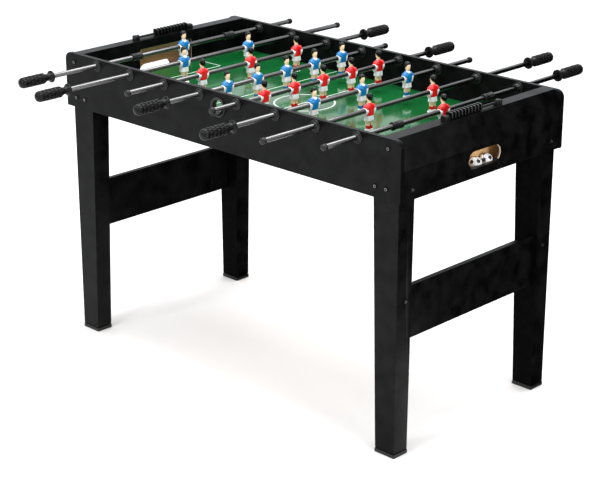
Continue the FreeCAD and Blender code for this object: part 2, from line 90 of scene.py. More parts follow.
# %% [markdown]
# ## Studio
# Black boards mirror what is around them. So the room is pale all round, with a soft lamp
# in front, a wider one overhead and a small one low at the right. Two pieces of black
# velvet, on the floor behind the table and upright behind its right end, show only in
# mirror images, so the right-hand faces stay black.

# %% Floor and world
scene.view_settings.view_transform = "Standard"


def link(thing):
    scene.collection.objects.link(thing)
    return thing


def plane_mesh(name, half):
    """A flat square that reaches this far to each side of its middle."""
    corners = [(-half, -half, 0), (half, -half, 0), (half, half, 0), (-half, half, 0)]
    mesh = bpy.data.meshes.new(name)
    mesh.from_pydata(corners, [], [(0, 1, 2, 3)])
    return mesh


FLOOR_HALF, FLOOR_GAP = 40.0, 0.0005
floor = link(bpy.data.objects.new("floor", plane_mesh("floor", FLOOR_HALF)))
floor.location.z = -FLOOR_GAP
floor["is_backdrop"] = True
world = bpy.data.worlds.new("studio")
world.use_nodes = True
scene.world = world
sky = world.node_tree.nodes["Background"]
sky.inputs["Color"].default_value = (0.95, 0.97, 1.0, 1.0)
sky.inputs["Strength"].default_value = 1.05
print("floor and world ready")

# %% Lamps


def soft_lamp(name, place, aim, size, watts):
    """A square soft box that shines from one point toward another."""
    data = bpy.data.lights.new(name, "AREA")
    data.size = size
    data.energy = watts
    lamp = link(bpy.data.objects.new(name, data))
    lamp.location = place
    lamp.rotation_euler = (Vector(aim) - Vector(place)).to_track_quat("-Z", "Y").to_euler()
    return lamp


soft_lamp("key_lamp", (-0.2, -4.2, 3.9), (0, 0, 0.7), 2.2, 150.0)
soft_lamp("top_lamp", (0.0, 0.6, 4.2), (0, 0, 0.8), 3.0, 175.0)
soft_lamp("fill_lamp", (3.3, -0.7, 1.1), (0.5, 0, 0.72), 1.0, 32.0)

velvets = []
for place, (tilt, turn), size in (((1.6, 3.3, 0.004), (0.0, 0.0), (3.4, 3.05, 1.0)),
                                  ((0.75, 1.02, 0.85), (90.0, -47.6), (0.66, 0.5, 1.0))):
    flag = link(bpy.data.objects.new("velvet_%d" % len(velvets), plane_mesh("velvet", 1.0)))
    flag.location = place
    flag.rotation_euler = (math.radians(tilt), 0.0, math.radians(turn))
    flag.scale = size
    flag.visible_camera = False
    flag.visible_diffuse = False
    flag.visible_shadow = False
    flag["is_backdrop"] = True
    velvets.append(flag)

# %% [markdown]
# ## Finishes
# No real surface is one flat colour. Each finish starts from one Principled shader and adds
# noise over the piece to its colour, roughness and relief. Procedural noise needs no
# unwrapping and stays sharp close up.

# %% Helpers for finishes


def set_sockets(node, **sockets):
    for name, value in sockets.items():
        node.inputs[name.replace("_", " ")].default_value = value
    return node


def add_node(finish, kind, **sockets):
    return set_sockets(finish.node_tree.nodes.new("ShaderNode" + kind), **sockets)


def wire(finish, value, target):
    finish.node_tree.links.new(value, target)


def shader_of(finish):
    return finish.node_tree.nodes["Principled BSDF"]


def new_finish(name, colour, roughness, **sockets):
    """One Principled shader with fixed values; the helpers below add variation."""
    finish = bpy.data.materials.new(name)
    finish.use_nodes = True
    set_sockets(shader_of(finish), Base_Color=(*colour, 1.0), Roughness=roughness, **sockets)
    finish.diffuse_color = (*colour, 1.0)
    return finish


def noise(finish, scale, stretch=(1.0, 1.0, 1.0), detail=3.0):
    """A cloudy value over the piece; a small stretch number draws it out along that axis."""
    where = add_node(finish, "TexCoord")
    mapping = add_node(finish, "Mapping", Scale=stretch)
    cloud = add_node(finish, "TexNoise", Scale=scale, Detail=detail)
    wire(finish, where.outputs["Object"], mapping.inputs["Vector"])
    wire(finish, mapping.outputs["Vector"], cloud.inputs["Vector"])
    return cloud.outputs["Fac"]


def blend(finish, value, dark, light, low, high):
    """The colour runs from dark to light as the value runs from low to high."""
    ramp = add_node(finish, "ValToRGB")
    for stop, place, colour in zip(ramp.color_ramp.elements, (low, high), (dark, light)):
        stop.position = place
        stop.color = (*colour, 1.0)
    wire(finish, value, ramp.inputs["Fac"])
    wire(finish, ramp.outputs["Color"], shader_of(finish).inputs["Base Color"])


def tint(finish, scale, dark, light, **cloud):
    blend(finish, noise(finish, scale, **cloud), dark, light, 0.35, 0.65)


def vary_roughness(finish, scale, low, high, **cloud):
    value = noise(finish, scale, **cloud)
    reach = add_node(finish, "MapRange", From_Min=0.3, From_Max=0.7, To_Min=low, To_Max=high)
    wire(finish, value, reach.inputs["Value"])
    wire(finish, reach.outputs["Result"], shader_of(finish).inputs["Roughness"])


def relief(finish, scale, depth_mm, strength=1.0, **cloud):
    """Small bumps; a second call adds finer ones on top of the first."""
    value = noise(finish, scale, **cloud)
    bump = add_node(finish, "Bump", Distance=depth_mm * MM, Strength=strength)
    wire(finish, value, bump.inputs["Height"])
    shader_normal = shader_of(finish).inputs["Normal"]
    if shader_normal.is_linked:
        wire(finish, shader_normal.links[0].from_socket, bump.inputs["Normal"])
    wire(finish, bump.outputs["Normal"], shader_normal)


print("finish helpers ready")

# %% [markdown]
# ### Floor
# A studio floor is painted paper or vinyl: nearly white, dull, faintly uneven. Black
# velvet sends almost nothing back.

# %% Studio floor finish
studio_floor = new_finish("studio_floor", (0.86, 0.86, 0.86), 0.75)
tint(studio_floor, 1.5, (0.85, 0.85, 0.85), (0.88, 0.88, 0.88))
relief(studio_floor, 120.0, 0.05)
floor.data.materials.append(studio_floor)
velvet = new_finish("velvet", (0.002, 0.002, 0.002), 0.95, Specular_IOR_Level=0.0)
tint(velvet, 300.0, (0.001, 0.001, 0.001), (0.003, 0.003, 0.003))
for flag in velvets:
    flag.data.materials.append(velvet)
print("floor:", studio_floor.name)

# %% [markdown]
# ### Boards
# The boards are pressed wood fibre under black foil, which has a fine grain and a satin
# shine that varies a little from hand marks. Uncovered backs show the tan fibre, painted
# paler behind the goals as painted light, or a dull black that is painted shade. Sawn rims
# are pale at one face and darken away from it, painted shade into the hole and the mouth.

# %% Board finishes
black_foil = new_finish("black_foil", (0.002, 0.002, 0.002), 0.3, Specular_IOR_Level=0.075)
tint(black_foil, 26.0, (0.0008, 0.0008, 0.0009), (0.0042, 0.0042, 0.0044), detail=6.0)
vary_roughness(black_foil, 9.0, 0.24, 0.38, detail=6.0)
relief(black_foil, 700.0, 0.04, 0.5, stretch=(0.25, 1.0, 1.0))
relief(black_foil, 45.0, 0.05, 0.4)


def crumble(finish):
    """The broken surface of cut fibre."""
    relief(finish, 900.0, 0.15, 0.8, detail=5.0)


def fibre(name, colour, roughness, dark, light):
    finish = new_finish(name, colour, roughness)
    tint(finish, 420.0, dark, light, detail=6.0)
    crumble(finish)
    return finish


bare_board = fibre("bare_board", (0.46, 0.28, 0.12), 0.85, (0.36, 0.205, 0.085), (0.60, 0.39, 0.19))
# A lighter copy of the bare fibre, painted light for the goal walls' backs seen through the return holes.
painted_light_board = fibre("painted_light_board", (0.78, 0.47, 0.21), 0.8, (0.66, 0.38, 0.16), (0.88, 0.58, 0.30))
# A near-black finish painted as shade: the grooves round the foot caps and the legs' faces toward each
# other across the table.
painted_shade_black = new_finish("painted_shade_black", (0.0012, 0.0012, 0.0013), 0.7, Specular_IOR_Level=0.02)
tint(painted_shade_black, 60.0, (0.0008,) * 3, (0.002,) * 3, detail=5.0)
relief(painted_shade_black, 500.0, 0.05, 0.5)


def shaded_sawn_edge(name, shaded_at, unshaded_at, pale=(0.62, 0.45, 0.30)):
    """Bare fibre painted with shade: dark at one distance (mm) from the table's middle and pale at
    another.
    """
    finish = new_finish(name, (0.30, 0.20, 0.12), 0.8)
    where = add_node(finish, "TexCoord")
    split = add_node(finish, "SeparateXYZ")
    size = add_node(finish, "Math")
    size.operation = "ABSOLUTE"
    depth = add_node(finish, "MapRange", From_Min=shaded_at * MM, From_Max=unshaded_at * MM)
    wire(finish, where.outputs["Object"], split.inputs["Vector"])
    wire(finish, split.outputs["X"], size.inputs[0])
    wire(finish, size.outputs["Value"], depth.inputs["Value"])
    # the dark end of this ramp is painted shade, where the rim runs into the opening
    blend(finish, depth.outputs["Result"], (0.035, 0.018, 0.010), pale, 0.2, 0.8)
    crumble(finish)
    return finish


# Painted shade on the sawn rims: the return-hole rims darken inward from the end board's outer face, the
# goal-mouth rims away from the field.
HOLE_SHADED_AT, HOLE_UNSHADED_AT = 597.5, 601.5
MOUTH_SHADE_DEPTH = 3.5
goal_inner = min(abs(c.x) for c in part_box("goal_wall_right")) / MM
hole_rim_shaded = shaded_sawn_edge("hole_rim_shaded", HOLE_SHADED_AT, HOLE_UNSHADED_AT)
mouth_rim_shaded = shaded_sawn_edge("mouth_rim_shaded", goal_inner + MOUTH_SHADE_DEPTH, goal_inner, (0.40, 0.26, 0.15))
print("board finishes:", black_foil.name, bare_board.name, hole_rim_shaded.name)

# %% [markdown]
# ### Playing field
# The field is a thin board with a printed and varnished sheet on it. Varnish is smooth
# and shiny, so it mirrors the players and the walls, but a roller leaves it a little wavy.

# %% Field finishes
field_green = new_finish("field_green", (0.004, 0.10, 0.022), 0.14, Coat_Weight=0.3, Coat_Roughness=0.06)
tint(field_green, 6.0, (0.0035, 0.088, 0.018), (0.006, 0.118, 0.028))
vary_roughness(field_green, 30.0, 0.10, 0.18, stretch=(0.3, 1.0, 1.0))
relief(field_green, 22.0, 0.06, 0.5, stretch=(0.4, 1.0, 1.0))
line_white = new_finish("line_white", (0.62, 0.72, 0.64), 0.2)
tint(line_white, 60.0, (0.56, 0.68, 0.60), (0.70, 0.78, 0.70))
vary_roughness(line_white, 90.0, 0.12, 0.26)
print("field finishes:", field_green.name, line_white.name)

# %% [markdown]
# ### Metal and moulded parts
# Rods are chromed steel tube, drawn through a die that leaves faint lines along it.
# Grips, caps, bushings and scorers are black plastic: moulded with a light spark texture,
# worn a little smoother where fingers touch.

# %% Metal and plastic finishes
chrome = new_finish("chrome", (0.15, 0.149, 0.148), 0.22, Metallic=1.0)
tint(chrome, 90.0, (0.12, 0.119, 0.118), (0.18, 0.178, 0.176), stretch=(1.0, 0.1, 1.0))
vary_roughness(chrome, 60.0, 0.2, 0.3, stretch=(1.0, 0.2, 1.0))
relief(chrome, 1500.0, 0.01, 0.5, stretch=(1.0, 0.01, 1.0))


def black_plastic(name, shade, low, high, grain, shine=0.3):
    finish = new_finish(name, (shade, shade, shade * 1.05), low, Specular_IOR_Level=shine)
    tint(finish, 80.0, (shade * 0.8,) * 3, (shade * 1.3,) * 3)
    vary_roughness(finish, 160.0, low, high, detail=4.0)
    relief(finish, grain, 0.03, 0.5)
    return finish


moulded_black = black_plastic("moulded_black", 0.006, 0.26, 0.38, 1400.0)
grip_black = black_plastic("grip_black", 0.005, 0.20, 0.30, 1100.0, 0.14)
bead_black = black_plastic("bead_black", 0.006, 0.16, 0.26, 1600.0, 0.6)
bead_matt = black_plastic("bead_matt", 0.002, 0.45, 0.6, 1600.0, 0.05)
screw_black = new_finish("screw_black", (0.003, 0.003, 0.0035), 0.12, Specular_IOR_Level=0.1)
tint(screw_black, 500.0, (0.002, 0.002, 0.0022), (0.005, 0.005, 0.0055))
vary_roughness(screw_black, 700.0, 0.07, 0.16)
relief(screw_black, 2200.0, 0.02, 0.5)
# Bright metal on the bolts' socket rims, a painted highlight.
socket_highlight = new_finish("socket_highlight", (0.24, 0.235, 0.23), 0.3, Metallic=1.0)
tint(socket_highlight, 900.0, (0.14, 0.138, 0.136), (0.34, 0.335, 0.33))
relief(socket_highlight, 1800.0, 0.02, 0.5)
print("metal and plastic:", chrome.name, moulded_black.name, screw_black.name)

# %% [markdown]
# ### Paint on the players
# The players are painted with glossy enamel, thick enough to round off the edges. Each
# colour gets a slightly uneven shine and a soft orange-peel.

# %% Player paints


def enamel(name, colour, roughness=0.2, coat=0.25, shine=0.5):
    finish = new_finish(name, colour, roughness, Coat_Weight=coat, Coat_Roughness=0.08,
                        Specular_IOR_Level=shine)
    darker = tuple(c * 0.88 for c in colour)
    lighter = tuple(min(1.0, c * 1.08) for c in colour)
    tint(finish, 180.0, darker, lighter)
    vary_roughness(finish, 300.0, roughness * 0.75, roughness * 1.3)
    relief(finish, 500.0, 0.05, 0.35)
    return finish


team_paint = {"blue": enamel("shirt_blue", (0.002, 0.175, 0.46)),
              "red": enamel("shirt_red", (0.72, 0.006, 0.008))}
skin_paint = enamel("skin_paint", (1.0, 0.71, 0.45), 0.28)
hair_paint = enamel("hair_paint", (0.003, 0.0025, 0.0025), 0.14, 0.0, 0.25)
white_paint = enamel("white_paint", (0.97, 0.96, 0.97), 0.2)
lip_paint = enamel("lip_paint", (0.42, 0.10, 0.07), 0.35)
ball_white = enamel("ball_white", (0.96, 0.96, 0.95), 0.32)
ball_black = enamel("ball_black", (0.012, 0.012, 0.013), 0.35)
print("finishes in all:", len(bpy.data.materials))

# %% [markdown]
# ## The boards
# The solids of the boards already have the right shape, so they stay, but a sawn edge is
# never perfectly sharp. A Weld modifier joins the separate faces, a Decimate modifier
# merges flat triangles into whole faces, and a Bevel modifier rounds each edge by under a
# millimetre, which is what catches the light. The field is only welded.

# %% Round the edges and cover the boards


def soften(node, width_mm, finish):
    """Give a solid its finish and a small round on every sharp edge."""
    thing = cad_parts[node]
    thing.data.materials.clear()
    thing.data.materials.append(finish)
    weld = thing.modifiers.new("join_faces", "WELD")
    weld.merge_threshold = 0.00002
    if width_mm > 0:
        merge = thing.modifiers.new("merge_flat_faces", "DECIMATE")
        merge.decimate_type = "DISSOLVE"
        merge.angle_limit = math.radians(1.0)
        merge.delimit = {"MATERIAL"}
        bevel = thing.modifiers.new("round_edges", "BEVEL")
        bevel.width = width_mm * MM
        bevel.segments = 2
        bevel.limit_method = "ANGLE"
        bevel.angle_limit = math.radians(40)
        bevel.harden_normals = True


foil_boards = ["side_panel_front", "side_panel_back", "ball_trays"]
for part in ("end_board", "apron", "goal_wall", "leg_front", "leg_back", "stretcher"):
    foil_boards += [part + "_left", part + "_right"]
for node in foil_boards:
    soften(node, 0.9, black_foil)
soften("playfield", 0.0, field_green)
soften("foot_caps", 0.8, moulded_black)
print("boards covered:", len(foil_boards))

# %% [markdown]
# ### Bare edges
# The goal mouths and return holes are cut after the foil goes on, and the hidden backs of
# the aprons, end boards and goal walls are never covered; the goal walls' backs are painted
# paler as painted light. The legs' faces toward each other across the table, and the groove
# round each foot cap, are dull black as painted shade. All are picked by where they are and
# which way they face.

# %% Leave the cut faces bare


def bare_faces(node, is_bare, finish=bare_board):
    """Every face for which is_bare(centre in mm, normal) holds gets this finish instead."""
    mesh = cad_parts[node].data
    mesh.materials.append(finish)
    chosen = [face for face in mesh.polygons if is_bare(face.center / MM, face.normal)]
    for face in chosen:
        face.material_index = len(mesh.materials) - 1
    return len(chosen)


MOUTH_HALF, MOUTH_TOP = 98.0, 787.0
HOLE_HALF, HOLE_LOW, HOLE_HIGH = 62.0, 688.0, 732.0
APRON_BARE_TOP = 790.0
GROOVE_LOW, GROOVE_HIGH = 9.5, 12.5
field_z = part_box("playfield")[1].z / MM
bare_faces("playfield", lambda c, n: n.z < 0.5)
# the groove round each foot cap gets painted shade
grooves = bare_faces("foot_caps", lambda c, n: GROOVE_LOW < c.z < GROOVE_HIGH, painted_shade_black)
print("dull groove faces:", grooves)
for side, sign in (("left", -1), ("right", 1)):
    # the goal wall's back gets the painted light copy of the fibre
    bare_faces("goal_wall_" + side, lambda c, n: n.x * sign > 0.5, painted_light_board)
    # the sawn faces of the mouth and the hole get the rims painted with shade
    mouth = bare_faces("goal_wall_" + side, lambda c, n: abs(n.x) < 0.5 and abs(c.y) < MOUTH_HALF
                       and field_z - 1 < c.z < MOUTH_TOP, mouth_rim_shaded)
    inside = bare_faces("end_board_" + side, lambda c, n: n.x * sign < -0.5)
    hole = bare_faces("end_board_" + side, lambda c, n: abs(n.x) < 0.5 and abs(c.y) < HOLE_HALF
                      and HOLE_LOW < c.z < HOLE_HIGH, hole_rim_shaded)
    back = bare_faces("apron_" + side, lambda c, n: n.x * sign < -0.5 and c.z < APRON_BARE_TOP)
    for row, way in (("front", 1), ("back", -1)):
        # the legs' faces toward each other get painted shade
        bare_faces("leg_%s_%s" % (row, side), lambda c, n: n.y * way > 0.5, painted_shade_black)
    print(side, "bare faces:", mouth, inside, hole, back)

# %% [markdown]
# ## Field markings
# White ink on the green sheet makes a halfway line, a centre circle, two cross lines and a
# box in front of each goal. Here it is one flat mesh a tenth of a millimetre above the
# sheet, and a Solidify modifier gives it thickness.

# %% Helpers that build and place meshes


def finished_mesh(name, bm, finishes, smooth=True):
    """Turn a bmesh drawn in millimetres into a mesh in metres with its finishes."""
    bmesh.ops.transform(bm, matrix=Matrix.Scale(MM, 4), verts=bm.verts)
    bmesh.ops.recalc_face_normals(bm, faces=bm.faces)
    for face in bm.faces:
        face.smooth = smooth
    mesh = bpy.data.meshes.new(name)
    bm.to_mesh(mesh)
    bm.free()
    for finish in finishes:
        mesh.materials.append(finish)
    return mesh


def put(name, mesh, body, replaced=(), matrix=None):
    """Place a copy of a mesh in the scene, on its body, standing for the solids it replaces."""
    piece = link(bpy.data.objects.new(name, mesh))
    if matrix is not None:
        piece.matrix_world = matrix
    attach(piece, body)
    if replaced:
        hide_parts(*replaced)
    return piece


def at(point):
    """The placement that moves a mesh to a point in millimetres."""
    return Matrix.Translation(Vector(point) * MM)


def angles(count, offset=0.0):
    """Equal steps of angle once round."""
    return [2 * math.pi * (i + offset) / count for i in range(count)]


print("mesh helpers ready")

# %% Draw the markings
LINE, INK = 3.4, 0.08
SIDE_Y, CROSS_X = 297.5, 160.0
BOX_X, BOX_Y, GOAL_X = 440.0, 111.0, 544.5
CIRCLE_RADII, CIRCLE_STEPS = (77.6, 82.4), 96
STRIP_Z, CIRCLE_Z = field_z + 0.1, field_z + 0.14
lines = bmesh.new()


def flat_strip(x0, x1, y0, y1):
    corners = ((x0, y0), (x1, y0), (x1, y1), (x0, y1))
    lines.faces.new([lines.verts.new((x, y, STRIP_Z)) for x, y in corners])


for x in (0.0, -CROSS_X, CROSS_X):
    flat_strip(x - LINE / 2, x + LINE / 2, -SIDE_Y, SIDE_Y)
for sign in (-1, 1):
    near, far = sorted((sign * BOX_X, sign * GOAL_X))
    for y in (-BOX_Y, BOX_Y):
        flat_strip(near, far, y - LINE / 2, y + LINE / 2)
    flat_strip(sign * BOX_X - LINE / 2, sign * BOX_X + LINE / 2, -BOX_Y, BOX_Y)
spokes = [[lines.verts.new((r * math.cos(a), r * math.sin(a), CIRCLE_Z)) for r in CIRCLE_RADII]
          for a in angles(CIRCLE_STEPS)]
for (inner, outer), (next_inner, next_outer) in zip(spokes, spokes[1:] + spokes[:1]):
    lines.faces.new((inner, outer, next_outer, next_inner))
lines_mesh = finished_mesh("field_lines", lines, [line_white], False)
field_lines = put("field_lines", lines_mesh, "cabinet")
ink = field_lines.modifiers.new("ink_thickness", "SOLIDIFY")
ink.thickness = INK * MM
ink.offset = -1.0
print("marking faces:", len(lines_mesh.polygons))

# %% [markdown]
# ## Round parts
# Grips, caps, collars, bushings and bolts are turned shapes. One helper spins an outline of
# (distance along the axis, radius) pairs about Y, and can change the radius round the turn
# for cuts, ribs or a hexagon. Another makes the faces between any rings of points.

# %% Helpers that join rings and turn outlines about Y


def join_rings(bm, rings, finish=0):
    """Faces from each ring of points to the next; a ring can also be a single point."""
    for low, high in zip(rings, rings[1:]):
        count = max(len(low), len(high))
        for i in range(count):
            j = (i + 1) % count
            corners = (low[i % len(low)], low[j % len(low)], high[j % len(high)], high[i % len(high)])
            # a ring of one point comes twice in the corners; the keys keep it once
            bm.faces.new(list(dict.fromkeys(corners))).material_index = finish


def turned(bm, outline, segments=48, shape=None):
    """Spin (y, radius) pairs about the Y axis; shape(y, radius, angle) can change a radius."""
    rings = []
    for y, radius in outline:
        ring = []
        for a in angles(segments if radius else 1):
            r = shape(y, radius, a) if shape and radius else radius
            ring.append(bm.verts.new((r * math.cos(a), y, r * math.sin(a))))
        rings.append(ring)
    join_rings(bm, rings)


def closed(steps):
    """The list with its first item again at the end, for a shape that closes on itself."""
    return steps + steps[:1]


def ribs(low, high, count, depth, edge=-0.1):
    """A shape for turned(): this many grooves between two places on either side of y = 0."""
    def shape(y, radius, a):
        return radius - (depth if low < abs(y) < high and math.cos(count * a) < edge else 0.0)
    return shape


print("ring and turning helpers ready")

# %% [markdown]
# ## Rods
# A rod is a steel tube. The solid tube has the right shape, so it only gets its chrome
# and softer ends.

# %% Chrome the rods
BORE = 6.42
rods = {}
for number in range(1, 9):
    low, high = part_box("rod_%d" % number)
    grip_low, grip_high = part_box("handle_%d" % number)
    back = grip_low.y > 0
    tip = grip_high.y if back else grip_low.y
    rods[number] = {"x": (low.x + high.x) / 2 / MM, "z": (low.z + high.z) / 2 / MM,
                    "tip": tip / MM, "back": back}
    soften("rod_%d" % number, 0.3, chrome)
print("rods at x =", [round(rod["x"], 1) for rod in rods.values()])


def on_rod(number, y, turned_round=None):
    """The place on a rod at y millimetres, turned round if its grip is at the back."""
    rod = rods[number]
    turn = rod["back"] if turned_round is None else turned_round
    return at((rod["x"], y, rod["z"])) @ Matrix.Rotation(math.pi if turn else 0.0, 4, "Z")


# %% [markdown]
# ## Grips
# A grip is moulded in one piece: a domed tip with cuts in it, five rings of raised pads
# that stop the hand slipping, a narrow neck and a flared guard. The body is one turned
# outline. Each pad is a small closed block, sunk a little into it, with a rounded rim.

# %% Mould the grip
GRIP_LENGTH = (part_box("handle_1")[1].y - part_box("handle_1")[0].y) / MM
GRIP_RADIUS, GRIP_BORE_DEPTH = 12.9, 50.0
PAD_RINGS, PAD_COLUMNS = 5, 10
PAD_START, PAD_PITCH = 17.0, 12.0
PAD_GAP, PAD_GAP_ANGLE = 0.9, 0.07
TIP_CUTS, TIP_CUT_DEPTH = 8, 1.3


def grip_mesh():
    bm = bmesh.new()
    end = GRIP_LENGTH
    outline = [(end - GRIP_BORE_DEPTH, 0.0), (end - GRIP_BORE_DEPTH, BORE), (end, BORE), (end, 14.6),
               (end - 1.0, 15.8), (end - 3.2, 15.9), (end - 4.4, 14.8), (end - 5.0, 11.2),
               (end - 9.0, 10.2), (end - 13.0, 9.4), (end - 16.0, 9.0), (end - 20.0, 9.8),
               (end - 24.0, 11.6), (end - 27.0, GRIP_RADIUS)]
    outline += [(PAD_START + PAD_PITCH * ring, GRIP_RADIUS) for ring in range(PAD_RINGS - 1, -1, -1)]
    outline += [(15.2, 14.0), (11.5, 14.3), (7.5, 13.6), (4.2, 11.8), (2.0, 9.0), (0.9, 6.0), (0.4, 0.0)]

    def cuts(y, radius, a):
        dip = max(0.0, math.cos(TIP_CUTS * a)) ** 4
        return radius - (TIP_CUT_DEPTH * dip if 1.0 < y < 14.0 else 0.0)
    turned(bm, outline, 96, cuts)
    pad_turn = 2 * math.pi / PAD_COLUMNS
    for ring in range(PAD_RINGS):
        for column in range(PAD_COLUMNS):
            y0 = PAD_START + ring * PAD_PITCH + PAD_GAP
            a0 = pad_turn * (column + 0.5 * (ring % 2))
            pad(bm, y0, y0 + PAD_PITCH - 2 * PAD_GAP, a0 + PAD_GAP_ANGLE, a0 + pad_turn - PAD_GAP_ANGLE)
    return finished_mesh("grip", bm, [grip_black])


def pad(bm, y0, y1, a0, a1):
    """One raised pad between two places along the grip and two angles round it."""
    steps = [(0.0, 12.6), (0.0, 13.6), (0.5, 14.3), (1.5, 14.6)]
    rings = []
    for inset, radius in steps:
        shrink = inset / radius
        turns = [a0 + shrink + (a1 - a0 - 2 * shrink) * k / 4 for k in range(5)]
        ring = [(y0 + inset, a) for a in turns] + [(y1 - inset, a) for a in reversed(turns)]
        rings.append([bm.verts.new((radius * math.cos(a), y, radius * math.sin(a))) for y, a in ring])
    join_rings(bm, rings)
    for ring in (rings[0], rings[-1]):
        for k in range(4):
            bm.faces.new((ring[k], ring[k + 1], ring[8 - k], ring[9 - k]))


grip = grip_mesh()
for number, rod in rods.items():
    put("grip_%d" % number, grip, "rod_%d_team" % number, ["handle_%d" % number],
        on_rod(number, rod["tip"]))
print("grip faces:", len(grip.polygons))

# %% [markdown]
# ## End caps and stop collars
# The plain end of each rod has a small ribbed cap. The goalkeepers' rods also carry a
# collar on each side of the player, which stops the rod when it meets the bushing.

# %% Make caps and collars
CAP_RIBS, CAP_RIB_DEPTH, CAP_BORE_DEPTH = 14, 0.5, 9.0
COLLAR_LENGTH, COLLAR_END = 33.0, 6.0


def cap_mesh():
    bm = bmesh.new()

    def cap_ribs(y, radius, a):
        return radius - (CAP_RIB_DEPTH if radius > 7.6 and math.cos(CAP_RIBS * a) < 0 else 0.0)
    outline = [(CAP_BORE_DEPTH, 0.0), (CAP_BORE_DEPTH, BORE), (0.0, BORE), (0.0, 7.4), (0.5, 8.0),
               (2.0, 8.0), (2.4, 7.99), (8.6, 7.99), (9.2, 7.8), (11.0, 6.6), (11.7, 5.2), (12.0, 3.4),
               (12.0, 0.0)]
    turned(bm, outline, 84, cap_ribs)
    return finished_mesh("end_cap", bm, [moulded_black])


def collar_mesh():
    bm = bmesh.new()
    half = [(0.0, BORE), (0.0, 9.9), (0.6, 10.5), (4.6, 10.5), (5.4, 9.9), (6.2, 9.9)]
    other = [(COLLAR_LENGTH - y, radius) for y, radius in reversed(half)]
    grooves = ribs(COLLAR_END, COLLAR_LENGTH - COLLAR_END, 8, 1.1, -0.2)
    turned(bm, closed(half + other), 96, grooves)
    return finished_mesh("stop_collar", bm, [moulded_black])


end_cap, stop_collar = cap_mesh(), collar_mesh()
for number, rod in rods.items():
    low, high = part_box("end_cap_%d" % number)
    inner_end = high.y if rod["back"] else low.y
    put("rod_cap_%d" % number, end_cap, "rod_%d_team" % number, ["end_cap_%d" % number],
        on_rod(number, inner_end / MM))
for number in (1, 8):
    low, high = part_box("stop_collars_%d" % number)
    for place, y in (("front", low.y / MM), ("back", high.y / MM - COLLAR_LENGTH)):
        put("collar_%d_%s" % (number, place), stop_collar, "rod_%d_team" % number,
            ["stop_collars_%d" % number], on_rod(number, y, False))
print("caps:", end_cap.users, "collars:", stop_collar.users)

# %% [markdown]
# ## Bushings
# Each rod runs in a plastic bushing in both side panels. Outside there is a flange with a
# raised rim and a ribbed hub around the rod; inside, a flanged nut with a longer hub.

# %% Make the bushings
PANEL_OUTSIDE, PANEL_INSIDE = 310.0, 298.0


def bushing_mesh(name, outline, hub):
    bm = bmesh.new()
    turned(bm, closed(outline), 80, hub)
    return finished_mesh(name, bm, [moulded_black])


outer_bushing = bushing_mesh("bushing_outside", [
    (-11.9, BORE), (-11.9, 10.8), (0.0, 10.8), (0.0, 15.0), (0.5, 15.5), (2.2, 15.5), (2.9, 15.0),
    (3.0, 14.2), (2.6, 13.4), (1.3, 12.6), (1.3, 10.9), (1.9, 10.2), (6.6, 9.4), (7.4, 8.6), (7.5, 7.4),
    (6.9, BORE)], ribs(1.6, 7.0, 8, 0.9))
inner_bushing = bushing_mesh("bushing_inside", [
    (0.0, BORE), (0.0, 15.0), (0.4, 15.5), (2.3, 15.5), (2.9, 15.0), (3.0, 14.0), (3.0, 11.2), (3.4, 10.9),
    (13.9, 10.6), (14.7, 10.0), (15.0, 9.0), (14.6, BORE)], ribs(3.2, 14.5, 10, 1.0))
bushings = (("outside", outer_bushing, PANEL_OUTSIDE), ("inside", inner_bushing, PANEL_INSIDE))
for number in rods:
    for place, sign in (("front", -1), ("back", 1)):
        for part, mesh, y in bushings:
            # an outside bushing points away from the table and an inside one into it
            turn_round = (sign < 0) == (part == "outside")
            put("bushing_%d_%s_%s" % (number, place, part), mesh, "cabinet",
                ["rod_bushings"], on_rod(number, sign * y, turn_round))
print("bushings:", outer_bushing.users + inner_bushing.users)

# %% [markdown]
# ## Ball cup
# A ring through the front panel with a scoop below it, so a ball put on the scoop rolls
# in. The scoop is longest at the bottom and fades out at the sides.

# %% Make the ball cup
CUP_Z = (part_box("ball_entry_cup")[0].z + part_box("ball_entry_cup")[1].z) / 2 / MM
CUP_BORE, CUP_RADIUS = 18.5, 20.8
CUP_DEPTH = PANEL_OUTSIDE - PANEL_INSIDE
SCOOP_REACH, SCOOP_WALL, SCOOP_CURL = 17.6, 2.3, 1.2
SCOOP_FROM, SCOOP_ROUND = 192.0, 156.0
SCOOP_STEPS, SCOOP_ROWS = 28, 8


def cup_mesh():
    bm = bmesh.new()
    turned(bm, closed([(CUP_DEPTH, CUP_BORE), (CUP_DEPTH, CUP_RADIUS), (0.0, CUP_RADIUS), (0.0, 25.4),
                       (-0.6, 26.0), (-2.0, 26.0), (-2.8, 25.4), (-3.2, 24.2), (-3.1, 22.0), (-2.4, 19.8),
                       (-1.0, CUP_BORE)]), 96)
    rings = []
    for i in range(SCOOP_STEPS + 1):
        share = i / SCOOP_STEPS
        a = math.radians(SCOOP_FROM + SCOOP_ROUND * share)
        reach = SCOOP_REACH * math.sin(math.pi * share) ** 0.45
        outside = [(reach * k / SCOOP_ROWS, 0.0) for k in range(SCOOP_ROWS + 1)]
        inside = [(out, SCOOP_WALL) for out, _ in reversed(outside)]
        ring = []
        for out, depth in outside + inside:
            r = CUP_RADIUS - depth - SCOOP_CURL * (out / SCOOP_REACH) ** 2
            ring.append(bm.verts.new((r * math.cos(a), -out - 0.3, r * math.sin(a))))
        rings.append(ring)
    join_rings(bm, rings)
    bmesh.ops.remove_doubles(bm, verts=bm.verts, dist=0.001)
    return finished_mesh("ball_cup", bm, [moulded_black])


put("ball_cup", cup_mesh(), "cabinet", ["ball_entry_cup"],
    at((0.0, -PANEL_OUTSIDE, CUP_Z)))
print("ball cup at z =", round(CUP_Z, 1))

